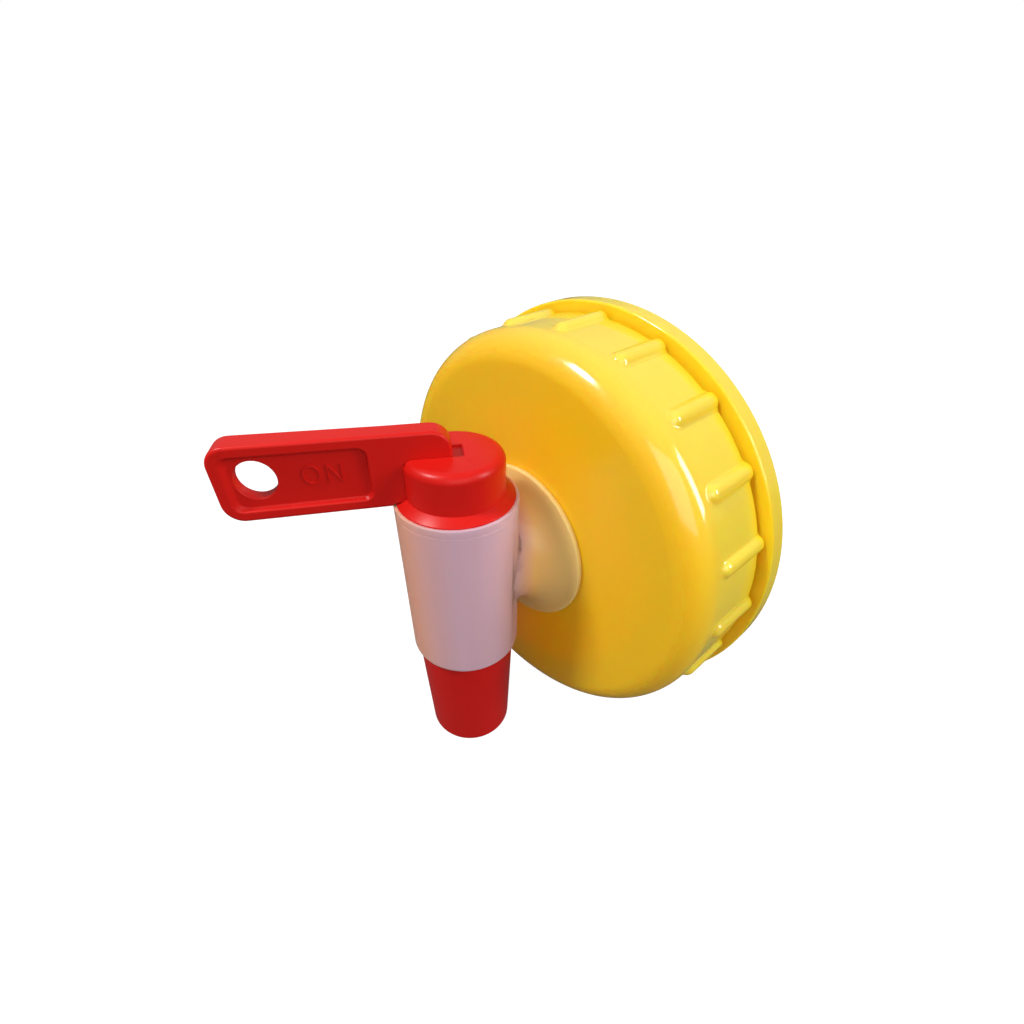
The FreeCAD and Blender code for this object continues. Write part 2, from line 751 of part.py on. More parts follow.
# Nothing is written unless every feature and every piece came out whole.
for item in document.Objects:
    if "Invalid" in item.State or "Error" in item.State:
        raise RuntimeError(f"{item.Name} did not build: {item.State}")
for piece in pieces:
    shape = piece.Shape
    if shape.isNull() or not shape.isValid() or len(shape.Solids) != 1:
        raise RuntimeError(f"{piece.Label} is not one valid solid")
for piece in pieces:
    piece.Shape.exportStep(f"parts/{piece.Label}.step")
    print(f"{piece.Label}: {piece.Shape.Volume:.1f} mm3, {len(piece.Shape.Faces)} faces")
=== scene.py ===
import json
import math

import bpy
from mathutils import Matrix, Vector


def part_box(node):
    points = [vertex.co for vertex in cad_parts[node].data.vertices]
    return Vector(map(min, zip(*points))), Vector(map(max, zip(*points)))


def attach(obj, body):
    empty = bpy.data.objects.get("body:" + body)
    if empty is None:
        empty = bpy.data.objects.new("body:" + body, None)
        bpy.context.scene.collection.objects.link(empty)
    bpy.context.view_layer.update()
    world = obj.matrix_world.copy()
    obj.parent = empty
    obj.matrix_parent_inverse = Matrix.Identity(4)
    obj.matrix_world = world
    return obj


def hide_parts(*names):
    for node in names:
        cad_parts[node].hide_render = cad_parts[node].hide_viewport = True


# Lever drum tap, put together from the cap outwards. Lengths are metres in the model's own
# frame: Z is up, the cap's axis is Y and the container's neck comes in from +Y.
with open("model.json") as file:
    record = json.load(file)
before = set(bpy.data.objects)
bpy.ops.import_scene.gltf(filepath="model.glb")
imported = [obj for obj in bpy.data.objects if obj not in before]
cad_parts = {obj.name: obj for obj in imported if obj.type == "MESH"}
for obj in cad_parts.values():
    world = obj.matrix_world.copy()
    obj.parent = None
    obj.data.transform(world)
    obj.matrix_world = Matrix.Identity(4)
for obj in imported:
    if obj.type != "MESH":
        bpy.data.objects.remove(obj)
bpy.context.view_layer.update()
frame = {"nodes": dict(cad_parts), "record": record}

# Two places closer than this count as one.
NEAR = 0.00001

# Screw cap: a thick-walled moulding of glossy yellow polyethylene that screws on the neck of a
# drum. It has a flat plate with a wide round shoulder, twenty grip ribs with ball-shaped front
# ends, and one turn of thread inside.
CAP_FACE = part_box("screw_cap")[0].y
CAP_RADIUS = 0.0337
CAP_SHOULDER = 0.0043
CAP_PLATE = 0.0022
SKIRT_WALL = 0.003
SEAT_STEP = 0.0007
THREAD_LENGTH = 0.0064
HOLE_RADIUS = 0.0086
CAP_STEPS = 240
CAP_EDGE = 0.00022

RIB_COUNT = 20
RIB_TURN = math.radians(0.95)
RIB_HEIGHT = 0.0008
RIB_ROUND = 0.0015
RIB_FOOT_ROUND = 0.0006
RIB_SINK = 0.00008
RIB_START = 0.0049
RIB_STEPS = 40

THREAD_RISE = 0.006
THREAD_TURN = math.radians(385)
THREAD_HEIGHT = 0.0013
THREAD_FOOT = 0.0028
THREAD_CREST = 0.001
THREAD_LEAD = 0.0022
THREAD_STEPS = 200
RUN_OUT_STEPS = 12

# Yellow of the plate with its drift, a paler yellow painted on the skirt for its sheen and the light
# through its thin wall, and a golden one painted as shade between the skirt and the band.
PLATE_YELLOW = (0.95, 0.54, 0.009, 1)
PLATE_DRIFT_YELLOW = (0.93, 0.52, 0.007, 1)
SKIRT_SHEEN_YELLOW = (0.80, 0.61, 0.05, 1)
CREVICE_SHADE_YELLOW = (0.90, 0.59, 0.012, 1)


def deselect_all():
    """Leaves edit mode and selects nothing."""
    if bpy.context.object and bpy.context.object.mode != "OBJECT":
        bpy.ops.object.mode_set(mode="OBJECT")
    bpy.ops.object.select_all(action="DESELECT")


def arc(place, radius, size, start, end, steps):
    """Stations along an arc about the point (place, radius); 0 degrees points along the axis."""
    stations = []
    for step in range(steps + 1):
        angle = math.radians(start + (end - start) * step / steps)
        stations.append((place + size * math.cos(angle), radius + size * math.sin(angle)))
    return stations


def turned(name, axis, centre, stations, steps):
    """A piece turned about an axis. A circle is drawn at the first station (place, radius), then
    extruded and scaled from station to station, and what meets is merged."""
    deselect_all()
    along = Vector((0, 1, 0)) if axis == "Y" else Vector((0, 0, 1))
    rotation = (math.pi / 2, 0, 0) if axis == "Y" else (0, 0, 0)
    place, radius = stations[0]
    smallest = 0.000001
    radius = max(radius, smallest)
    bpy.ops.mesh.primitive_circle_add(
        vertices=steps, radius=radius, location=centre + along * place, rotation=rotation
    )
    piece = bpy.context.object
    piece.name = name
    piece.data.name = name
    bpy.ops.object.transform_apply(location=True, rotation=True, scale=True)
    bpy.ops.object.mode_set(mode="EDIT")
    bpy.ops.mesh.select_all(action="SELECT")
    for next_place, next_radius in stations[1:]:
        next_radius = max(next_radius, smallest)
        move = along * (next_place - place)
        bpy.ops.mesh.extrude_region_move(TRANSFORM_OT_translate={"value": move})
        ratio = next_radius / radius
        growth = (ratio, 1, ratio) if axis == "Y" else (ratio, ratio, 1)
        bpy.ops.transform.resize(value=growth, center_override=centre + along * next_place)
        place = next_place
        radius = next_radius
    bpy.ops.mesh.select_all(action="SELECT")
    bpy.ops.mesh.remove_doubles(threshold=0.000004)
    bpy.ops.mesh.normals_make_consistent(inside=False)
    bpy.ops.object.mode_set(mode="OBJECT")
    return piece


def rod(name, axis, centre, start, end, radius, steps):
    """A round rod along an axis, which is a hexagon where it has six steps."""
    return turned(name, axis, centre, [(start, 0), (start, radius), (end, radius), (end, 0)], steps)


def soften(piece, width, segments=3, angle=30):
    """Rounds every edge that is sharper than the angle."""
    deselect_all()
    piece.select_set(True)
    bpy.context.view_layer.objects.active = piece
    bevel = piece.modifiers.new("soft_edges", "BEVEL")
    bevel.width = width
    bevel.segments = segments
    bevel.limit_method = "ANGLE"
    bevel.angle_limit = math.radians(angle)
    bpy.ops.object.modifier_apply(modifier=bevel.name)


def soften_where(piece, width, segments, angle, chosen):
    """Rounds the edges that are sharper than the angle and whose two ends both pass the test."""
    deselect_all()
    piece.select_set(True)
    bpy.context.view_layer.objects.active = piece
    bpy.ops.object.mode_set(mode="EDIT")
    bpy.ops.mesh.select_mode(type="EDGE")
    bpy.ops.mesh.select_all(action="DESELECT")
    bpy.ops.mesh.edges_select_sharp(sharpness=math.radians(angle))
    bpy.ops.object.mode_set(mode="OBJECT")
    bpy.context.tool_settings.mesh_select_mode = (True, False, False)
    marks = piece.data.attributes.new("bevel_weight_edge", "FLOAT", "EDGE")
    for edge in piece.data.edges:
        ends = [piece.data.vertices[index].co for index in edge.vertices]
        wanted = edge.select and all(chosen(end) for end in ends)
        marks.data[edge.index].value = 1.0 if wanted else 0.0
    bevel = piece.modifiers.new("soft_edges", "BEVEL")
    bevel.width = width
    bevel.segments = segments
    bevel.limit_method = "WEIGHT"
    bevel.use_clamp_overlap = False
    bpy.ops.object.modifier_apply(modifier=bevel.name)
    piece.data.attributes.remove(piece.data.attributes["bevel_weight_edge"])


def carve(piece, tool, operation="DIFFERENCE"):
    """Cuts the tool out of the piece, or adds it, and takes the tool away."""
    deselect_all()
    bpy.context.view_layer.objects.active = piece
    cut = piece.modifiers.new("cut", "BOOLEAN")
    cut.operation = operation
    cut.solver = "EXACT"
    cut.object = tool
    bpy.ops.object.modifier_apply(modifier=cut.name)
    bpy.data.objects.remove(tool)
    bpy.ops.object.mode_set(mode="EDIT")
    bpy.ops.mesh.select_all(action="SELECT")
    bpy.ops.mesh.remove_doubles(threshold=0.000008)
    bpy.ops.object.mode_set(mode="OBJECT")


def finish_piece(piece, material, angle=32):
    """Smooth faces up to an edge angle, large faces kept flat, and the material."""
    deselect_all()
    piece.select_set(True)
    bpy.context.view_layer.objects.active = piece
    bpy.ops.object.transform_apply(location=True, rotation=True, scale=True)
    bpy.ops.object.shade_smooth_by_angle(angle=math.radians(angle))
    normals = piece.modifiers.new("flat_faces", "WEIGHTED_NORMAL")
    normals.keep_sharp = True
    normals.weight = 100
    bpy.ops.object.modifier_apply(modifier=normals.name)
    piece.data.materials.clear()
    piece.data.materials.append(material)


def joined(parts, name):
    """One object of several, each of which keeps its own faces."""
    deselect_all()
    for part in parts:
        part.select_set(True)
    bpy.context.view_layer.objects.active = parts[0]
    bpy.ops.object.join()
    parts[0].name = name
    return parts[0]


def ring_of(piece, count, first_turn):
    """A piece and its copies, each with its own mesh, spaced evenly round the cap's axis."""
    pieces = [piece]
    while len(pieces) < count:
        copy = piece.copy()
        copy.data = piece.data.copy()
        bpy.context.collection.objects.link(copy)
        pieces.append(copy)
    for place, copy in enumerate(pieces):
        copy.data.transform(Matrix.Rotation(first_turn + 2 * math.pi * place / count, 4, "Y"))
    return pieces


def moulded_plastic(name, colours, roughness, peel, subsurface, subsurface_radius):
    """A moulded plastic: its colour drifts between two, its gloss is uneven, and its skin has a
    fine peel. The shader, its colour and the coordinates are returned with the material, so that
    a piece can add to them."""
    material = bpy.data.materials.new(name)
    material.use_nodes = True
    nodes = material.node_tree.nodes
    links = material.node_tree.links
    shader = nodes["Principled BSDF"]
    coordinates = nodes.new("ShaderNodeTexCoord")

    drift = nodes.new("ShaderNodeTexNoise")
    drift.inputs["Scale"].default_value = 90
    drift.inputs["Detail"].default_value = 2
    links.new(coordinates.outputs["Object"], drift.inputs["Vector"])
    blend = nodes.new("ShaderNodeMix")
    blend.data_type = "RGBA"
    blend.inputs["A"].default_value = colours[0]
    blend.inputs["B"].default_value = colours[1]
    links.new(drift.outputs["Fac"], blend.inputs["Factor"])
    links.new(blend.outputs["Result"], shader.inputs["Base Color"])

    patches = nodes.new("ShaderNodeTexNoise")
    patches.inputs["Scale"].default_value = 420
    patches.inputs["Detail"].default_value = 4
    links.new(coordinates.outputs["Object"], patches.inputs["Vector"])
    gloss = nodes.new("ShaderNodeMapRange")
    gloss.inputs["To Min"].default_value = roughness * 0.85
    gloss.inputs["To Max"].default_value = roughness * 1.2
    links.new(patches.outputs["Fac"], gloss.inputs["Value"])
    links.new(gloss.outputs["Result"], shader.inputs["Roughness"])

    skin = nodes.new("ShaderNodeTexNoise")
    skin.inputs["Scale"].default_value = 1400
    skin.inputs["Detail"].default_value = 1
    links.new(coordinates.outputs["Object"], skin.inputs["Vector"])
    bump = nodes.new("ShaderNodeBump")
    bump.inputs["Strength"].default_value = peel
    bump.inputs["Distance"].default_value = 0.0001
    links.new(skin.outputs["Fac"], bump.inputs["Height"])
    links.new(bump.outputs["Normal"], shader.inputs["Normal"])

    shader.inputs["IOR"].default_value = 1.5
    shader.inputs["Subsurface Weight"].default_value = subsurface
    shader.inputs["Subsurface Radius"].default_value = subsurface_radius
    shader.inputs["Subsurface Scale"].default_value = 1.0
    return material, shader, blend, coordinates


cap_yellow, cap_shader, cap_colour, cap_coordinates = moulded_plastic(
    "cap_yellow",
    (PLATE_YELLOW, PLATE_DRIFT_YELLOW),
    roughness=0.1,
    peel=0.03,
    subsurface=0.55,
    subsurface_radius=(0.004, 0.0012, 0.0003),
)
cap_shader.inputs["Specular IOR Level"].default_value = 0.7
# The colour goes from the plate's to the skirt's painted sheen across the shoulder.
SHOULDER_FADE = (CAP_FACE + 0.0004, CAP_FACE + CAP_SHOULDER * 1.3)
cap_nodes = cap_yellow.node_tree.nodes
cap_links = cap_yellow.node_tree.links
cap_place = cap_nodes.new("ShaderNodeSeparateXYZ")
cap_links.new(cap_coordinates.outputs["Object"], cap_place.inputs["Vector"])
cap_fade = cap_nodes.new("ShaderNodeMapRange")
cap_fade.inputs["From Min"].default_value = SHOULDER_FADE[0]
cap_fade.inputs["From Max"].default_value = SHOULDER_FADE[1]
cap_links.new(cap_place.outputs["Y"], cap_fade.inputs["Value"])
cap_skirt_sheen = cap_nodes.new("ShaderNodeMix")
cap_skirt_sheen.data_type = "RGBA"
cap_skirt_sheen.inputs["B"].default_value = SKIRT_SHEEN_YELLOW
cap_links.new(cap_colour.outputs["Result"], cap_skirt_sheen.inputs["A"])
cap_links.new(cap_fade.outputs["Result"], cap_skirt_sheen.inputs["Factor"])
# Between the skirt and the band the plastic is painted a deeper golden, the shade and warm bounce of the
# crevice there.
CREVICE_SHADE_FROM = (-0.0014, -0.0002)
CREVICE_SHADE_TO = (0.0012, 0.0007)
cap_before = cap_nodes.new("ShaderNodeMapRange")
cap_before.inputs["From Min"].default_value = CREVICE_SHADE_FROM[0]
cap_before.inputs["From Max"].default_value = CREVICE_SHADE_FROM[1]
cap_links.new(cap_place.outputs["Y"], cap_before.inputs["Value"])
cap_behind = cap_nodes.new("ShaderNodeMapRange")
cap_behind.inputs["From Min"].default_value = CREVICE_SHADE_TO[0]
cap_behind.inputs["From Max"].default_value = CREVICE_SHADE_TO[1]
cap_links.new(cap_place.outputs["Y"], cap_behind.inputs["Value"])
cap_crevice_shade_mask = cap_nodes.new("ShaderNodeMath")
cap_crevice_shade_mask.operation = "MULTIPLY"
cap_links.new(cap_before.outputs["Result"], cap_crevice_shade_mask.inputs[0])
cap_links.new(cap_behind.outputs["Result"], cap_crevice_shade_mask.inputs[1])
cap_crevice_shade = cap_nodes.new("ShaderNodeMix")
cap_crevice_shade.data_type = "RGBA"
cap_crevice_shade.inputs["B"].default_value = CREVICE_SHADE_YELLOW
cap_links.new(cap_skirt_sheen.outputs["Result"], cap_crevice_shade.inputs["A"])
cap_links.new(cap_crevice_shade_mask.outputs["Value"], cap_crevice_shade.inputs["Factor"])
cap_links.new(cap_crevice_shade.outputs["Result"], cap_shader.inputs["Base Color"])
# The plate's flat face is duller than the shoulder and the skirt. Both are shares of the
# plastic's own roughness.
FACE_END = (CAP_FACE + 0.0001, CAP_FACE + 0.0012)
FACE_DULLNESS = 3.2
SHOULDER_DULLNESS = 1.2
cap_gloss = cap_shader.inputs["Roughness"].links[0].from_socket
cap_dull = cap_nodes.new("ShaderNodeMapRange")
cap_dull.inputs["From Min"].default_value = FACE_END[0]
cap_dull.inputs["From Max"].default_value = FACE_END[1]
cap_dull.inputs["To Min"].default_value = FACE_DULLNESS
cap_dull.inputs["To Max"].default_value = SHOULDER_DULLNESS
cap_links.new(cap_place.outputs["Y"], cap_dull.inputs["Value"])
cap_roughness = cap_nodes.new("ShaderNodeMath")
cap_roughness.operation = "MULTIPLY"
cap_links.new(cap_gloss, cap_roughness.inputs[0])
cap_links.new(cap_dull.outputs["Result"], cap_roughness.inputs[1])
cap_links.new(cap_roughness.outputs["Value"], cap_shader.inputs["Roughness"])

thread_radius = CAP_RADIUS - SKIRT_WALL
seat_radius = thread_radius - SEAT_STEP
plate_inside = CAP_FACE + CAP_PLATE
cap_section = [(CAP_FACE, HOLE_RADIUS)]
cap_section += arc(CAP_FACE + CAP_SHOULDER, CAP_RADIUS - CAP_SHOULDER, CAP_SHOULDER, 180, 90, 20)
cap_section += [
    (0, CAP_RADIUS),
    (0, thread_radius),
    (-THREAD_LENGTH, thread_radius),
    (-THREAD_LENGTH, seat_radius),
    (plate_inside, seat_radius),
    (plate_inside, HOLE_RADIUS),
    (CAP_FACE, HOLE_RADIUS),
]
cap_shell = turned("screw_cap_moulding", "Y", Vector((0, 0, 0)), cap_section, CAP_STEPS)
soften(cap_shell, CAP_EDGE)

# A rib is half a dome with a rounded foot, lengthened to the skirt's rear edge and closed there.
rib_axis = RIB_HEIGHT - RIB_ROUND
foot_across = math.sqrt((RIB_ROUND + RIB_FOOT_ROUND) ** 2 - (RIB_FOOT_ROUND - rib_axis) ** 2)
meeting = math.degrees(math.atan2(RIB_FOOT_ROUND - rib_axis, foot_across))
rib_section = [(-RIB_SINK, foot_across)]
rib_section += arc(RIB_FOOT_ROUND, foot_across, RIB_FOOT_ROUND, 180, 270 - meeting, 6)
rib_section += arc(rib_axis, 0, RIB_ROUND, 90 - meeting, 0, 10)
rib_middle = CAP_FACE + RIB_START + RIB_ROUND
rib_foot = Vector((0, rib_middle, CAP_RADIUS))
rib = turned("grip_rib", "Z", rib_foot, rib_section, RIB_STEPS)
bpy.ops.object.mode_set(mode="EDIT")
bpy.ops.mesh.select_all(action="SELECT")
bpy.ops.mesh.bisect(plane_co=rib_foot, plane_no=(0, 1, 0), clear_outer=True, threshold=0.000001)
bpy.ops.object.mode_set(mode="OBJECT")
for edge in rib.data.edges:
    ends = [rib.data.vertices[index].co.y for index in edge.vertices]
    edge.select = min(ends) > rib_middle - 0.000002
for vertex in rib.data.vertices:
    vertex.select = vertex.co.y > rib_middle - 0.000002
bpy.ops.object.mode_set(mode="EDIT")
bpy.ops.mesh.select_mode(type="EDGE")
bpy.ops.mesh.extrude_region_move(TRANSFORM_OT_translate={"value": (0, -rib_middle, 0)})
bpy.ops.mesh.edge_face_add()
bpy.ops.mesh.select_all(action="DESELECT")
bpy.ops.mesh.select_non_manifold()
bpy.ops.mesh.edge_face_add()
bpy.ops.mesh.select_mode(type="VERT")
bpy.ops.mesh.select_all(action="SELECT")
bpy.ops.mesh.normals_make_consistent(inside=False)
bpy.ops.object.mode_set(mode="OBJECT")
ribs = ring_of(rib, RIB_COUNT, RIB_TURN)

# The thread's ridge is a trapezium drawn round the axis by the screw modifier.
deselect_all()
thread_advance = THREAD_RISE * THREAD_TURN / (2 * math.pi)
ridge_start = -THREAD_LEAD - thread_advance
bpy.ops.mesh.primitive_plane_add(size=THREAD_FOOT, location=(thread_radius, ridge_start, 0))
ridge = bpy.context.object
ridge.name = "neck_thread_ridge"
bpy.ops.object.transform_apply(location=True)
for vertex in ridge.data.vertices:
    inner = vertex.co.x < thread_radius
    vertex.co.x = thread_radius - THREAD_HEIGHT if inner else thread_radius + RIB_SINK
    if inner:
        vertex.co.y = ridge_start + (vertex.co.y - ridge_start) * THREAD_CREST / THREAD_FOOT
bpy.ops.object.mode_set(mode="EDIT")
bpy.ops.mesh.select_all(action="SELECT")
bpy.ops.mesh.delete(type="ONLY_FACE")
bpy.ops.object.mode_set(mode="OBJECT")
winding = ridge.modifiers.new("winding", "SCREW")
winding.axis = "Y"
winding.angle = THREAD_TURN
winding.screw_offset = thread_advance
winding.steps = THREAD_STEPS
winding.render_steps = THREAD_STEPS
bpy.ops.object.modifier_apply(modifier=winding.name)
bpy.ops.object.mode_set(mode="EDIT")
bpy.ops.mesh.select_all(action="SELECT")
bpy.ops.mesh.fill_holes(sides=4)
bpy.ops.mesh.normals_make_consistent(inside=False)
bpy.ops.object.mode_set(mode="OBJECT")

# At both ends the ridge runs out into the skirt. It has four vertices to a step.
for vertex in ridge.data.vertices:
    step = vertex.index // 4
    share = min(1, (step + 0.5) / RUN_OUT_STEPS, (THREAD_STEPS - step + 0.5) / RUN_OUT_STEPS)
    reach = math.hypot(vertex.co.x, vertex.co.z)
    foot = thread_radius + RIB_SINK
    growth = (foot - (foot - reach) * share) / reach
    vertex.co.x *= growth
    vertex.co.z *= growth

screw_cap = cap_shell
carve(screw_cap, joined(ribs, "grip_ribs"), "UNION")
carve(screw_cap, ridge, "UNION")
finish_piece(screw_cap, cap_yellow)
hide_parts("screw_cap")
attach(screw_cap, "cap")

# Tamper band: the ring that stays behind on the neck when the cap is first unscrewed. It is
# moulded with the cap in the same yellow and hangs on it by ten thin bridges, which tear.
BAND_GAP = 0.0006
BAND_DEPTH = 0.0031
BAND_RADIUS = -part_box("tamper_band")[0].x
BAND_WEB = 0.0013
BAND_WALL = 0.0017
BAND_LIP = 0.0005
BAND_EDGE = 0.00035
BRIDGE_COUNT = 10
BRIDGE_WIDTH = 0.0015
BRIDGE_HEIGHT = 0.0009
BRIDGE_EDGE = 0.0001

band_rear = BAND_GAP + BAND_DEPTH
web_rear = BAND_GAP + BAND_WEB
band_section = [
    (BAND_GAP, thread_radius + BAND_LIP),
    (BAND_GAP, BAND_RADIUS),
    (band_rear, BAND_RADIUS),
    (band_rear, BAND_RADIUS - BAND_WALL),
    (web_rear, BAND_RADIUS - BAND_WALL),
    (web_rear, thread_radius + BAND_LIP),
    (BAND_GAP, thread_radius + BAND_LIP),
]
band_ring = turned("tamper_band_ring", "Y", Vector((0, 0, 0)), band_section, CAP_STEPS)
soften(band_ring, BAND_EDGE, 4)
deselect_all()
bridge_middle = (CAP_RADIUS + thread_radius) / 2
bpy.ops.mesh.primitive_cube_add(size=1, location=(0, BAND_GAP / 2, bridge_middle))
bridge = bpy.context.object
bridge.scale = (BRIDGE_WIDTH, BAND_GAP, BRIDGE_HEIGHT)
bpy.ops.object.transform_apply(location=True, scale=True)
soften(bridge, BRIDGE_EDGE, 2)
tamper_band = joined([band_ring] + ring_of(bridge, BRIDGE_COUNT, 0), "tamper_band_ring")
finish_piece(tamper_band, cap_yellow)
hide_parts("tamper_band")
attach(tamper_band, "cap")

# Cap liner: a flat ring of white foam that lies loose against the inside of the plate and seals
# on the rim of the neck. It is stamped from sheet, so it is flat, matt and fine-celled.
FOAM_WHITES = ((0.80, 0.79, 0.75, 1), (0.74, 0.73, 0.68, 1))
liner_foam = moulded_plastic(
    "liner_foam",
    FOAM_WHITES,
    roughness=0.7,
    peel=0.6,
    subsurface=0.2,
    subsurface_radius=(0.001, 0.001, 0.001),
)[0]
liner_node = frame["nodes"]["cap_liner"]
liner_node.data.materials.clear()
liner_node.data.materials.append(liner_foam)

# Spigot washer: a soft ring that the nut squeezes against the inside of the plate. It is cut
# from black rubber, and seals the hole that the spigot goes through.
RUBBER_BLACKS = ((0.03, 0.03, 0.03, 1), (0.05, 0.048, 0.046, 1))
seal_rubber = moulded_plastic(
    "seal_rubber",
    RUBBER_BLACKS,
    roughness=0.55,
    peel=0.4,
    subsurface=0.0,
    subsurface_radius=(0.001, 0.001, 0.001),
)[0]
washer_node = frame["nodes"]["spigot_washer"]
washer_node.data.materials.clear()
washer_node.data.materials.append(seal_rubber)

# Tap body: one moulding of natural, milky polypropylene. The upright barrel holds the plug, and
# a stub grows out of its side and flares into a bell flange that lies flat on the cap's face.
# A threaded spigot goes on through the cap to the nut.
turn_joint = frame["record"]["behaviour"]["joints"][0]
barrel_axis = Vector(turn_joint["pos_m"])
BARREL_RADIUS = 0.00905
BARREL_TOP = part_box("tap_body")[1].z
BARREL_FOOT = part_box("tap_body")[0].z
BARREL_BORE = 0.00775
BARREL_ROUNDING = 0.0009
BARREL_STEPS = 200
RING_LINE_DROP = 0.0013
RING_LINE_DEPTH = 0.00005
BELL_RADIUS = 0.01395
BELL_RIM = 0.0009
STUB_RADIUS = 0.0082
SPIGOT_RADIUS = 0.0084
SPIGOT_BORE = 0.0068
PORT_RADIUS = 0.005
PORT_WALL = 0.0004
JOIN_ROUND = 0.0005
BELL_LIFT = 0.00003
BELL_EDGE = 0.00025

# Painted light on the milky plastic: mauve for the red plug showing through it, a salmon light on
# its left side, and honey for the yellow cap showing through the bell and the stub.
BARREL_MILK = (0.66, 0.42, 0.50, 1)
LEFT_LIT_MILK = (0.80, 0.38, 0.27, 1)
BELL_MILK = (1.0, 0.60, 0.20, 1)
REAR_MILK = (0.82, 0.74, 0.60, 1)
# Where the painted salmon ends, and where the painted honey begins and is full, in barrel radii.
SALMON_END = 0.75
HONEY_START = 1.01
HONEY_FULL = 1.3

natural_plastic, milk_shader, milk_colour, milk_coordinates = moulded_plastic(
    "natural_plastic",
    (BARREL_MILK, BARREL_MILK),
    roughness=0.34,
    peel=0.05,
    subsurface=0.6,
    subsurface_radius=(0.003, 0.002, 0.0017),
)
milk_nodes = natural_plastic.node_tree.nodes
milk_links = natural_plastic.node_tree.links
milk_place = milk_nodes.new("ShaderNodeSeparateXYZ")
milk_links.new(milk_coordinates.outputs["Object"], milk_place.inputs["Vector"])
# The left side is painted salmon, a warm light as if the key shone through the wall.
milk_left_light_fade = milk_nodes.new("ShaderNodeMapRange")
milk_left_light_fade.inputs["From Min"].default_value = 0
milk_left_light_fade.inputs["From Max"].default_value = BARREL_RADIUS * SALMON_END
milk_links.new(milk_place.outputs["X"], milk_left_light_fade.inputs["Value"])
milk_left_light = milk_nodes.new("ShaderNodeMix")
milk_left_light.data_type = "RGBA"
milk_left_light.inputs["A"].default_value = LEFT_LIT_MILK
milk_links.new(milk_colour.outputs["Result"], milk_left_light.inputs["B"])
milk_links.new(milk_left_light_fade.outputs["Result"], milk_left_light.inputs["Factor"])
milk_level = milk_nodes.new("ShaderNodeCombineXYZ")
milk_links.new(milk_place.outputs["X"], milk_level.inputs["X"])
milk_links.new(milk_place.outputs["Y"], milk_level.inputs["Y"])
milk_outward = milk_nodes.new("ShaderNodeVectorMath")
milk_outward.operation = "DISTANCE"
milk_outward.inputs[1].default_value = (0, barrel_axis.y, 0)
milk_links.new(milk_level.outputs["Vector"], milk_outward.inputs[0])
# Outside the barrel the plastic is painted honey, the yellow cap showing through it.
milk_fade = milk_nodes.new("ShaderNodeMapRange")
milk_fade.inputs["From Min"].default_value = BARREL_RADIUS * HONEY_START
milk_fade.inputs["From Max"].default_value = BARREL_RADIUS * HONEY_FULL
milk_links.new(milk_outward.outputs["Value"], milk_fade.inputs["Value"])
milk_blend = milk_nodes.new("ShaderNodeMix")
milk_blend.data_type = "RGBA"
milk_blend.inputs["B"].default_value = BELL_MILK
milk_links.new(milk_left_light.outputs["Result"], milk_blend.inputs["A"])
milk_links.new(milk_fade.outputs["Result"], milk_blend.inputs["Factor"])
# Behind the cap's plate neither the red nor the yellow reaches it, and it is plain milky.
milk_depth = milk_nodes.new("ShaderNodeMapRange")
milk_depth.inputs["From Min"].default_value = CAP_FACE
milk_depth.inputs["From Max"].default_value = CAP_FACE + CAP_PLATE
milk_links.new(milk_place.outputs["Y"], milk_depth.inputs["Value"])
milk_rear = milk_nodes.new("ShaderNodeMix")
milk_rear.data_type = "RGBA"
milk_rear.inputs["B"].default_value = REAR_MILK
milk_links.new(milk_blend.outputs["Result"], milk_rear.inputs["A"])
milk_links.new(milk_depth.outputs["Result"], milk_rear.inputs["Factor"])
milk_links.new(milk_rear.outputs["Result"], milk_shader.inputs["Base Color"])
milk_shader.inputs["Transmission Weight"].default_value = 0.04

ring_line = BARREL_TOP - RING_LINE_DROP
barrel_section = [(BARREL_FOOT, 0)]
barrel_section += arc(
    BARREL_FOOT + BARREL_ROUNDING, BARREL_RADIUS - BARREL_ROUNDING, BARREL_ROUNDING, 180, 90, 8
)
barrel_section += [
    (ring_line - RING_LINE_DEPTH, BARREL_RADIUS),
    (ring_line, BARREL_RADIUS - RING_LINE_DEPTH),
    (ring_line + RING_LINE_DEPTH, BARREL_RADIUS),
    (BARREL_TOP, BARREL_RADIUS),
    (BARREL_TOP, 0),
]
tap_body = turned("tap_body_moulding", "Z", Vector((0, barrel_axis.y, 0)), barrel_section, BARREL_STEPS)

bell_front = CAP_FACE - BELL_RIM
flare = BELL_RADIUS - STUB_RADIUS
spigot_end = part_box("tap_body")[1].y
bell_section = [(barrel_axis.y, 0), (barrel_axis.y, STUB_RADIUS)]
bell_section += arc(bell_front - flare, BELL_RADIUS, flare, 270, 360, 16)
bell_section += [
    (CAP_FACE - BELL_LIFT, BELL_RADIUS),
    (CAP_FACE - BELL_LIFT, SPIGOT_RADIUS),
    (spigot_end, SPIGOT_RADIUS),
    (spigot_end, 0),
]
bell = turned("bell", "Y", Vector((0, 0, 0)), bell_section, BARREL_STEPS)
soften(bell, BELL_EDGE, 3)
carve(tap_body, bell, "UNION")


def on_stub_join(point):
    """True in the inside corner where the stub leaves the barrel, which is rounded."""
    from_barrel = math.hypot(point.x, point.y - barrel_axis.y)
    from_stub = math.hypot(point.x, point.z)
    return abs(from_barrel - BARREL_RADIUS) < 0.00003 and abs(from_stub - STUB_RADIUS) < 0.00003


soften_where(tap_body, JOIN_ROUND, 4, 5, on_stub_join)

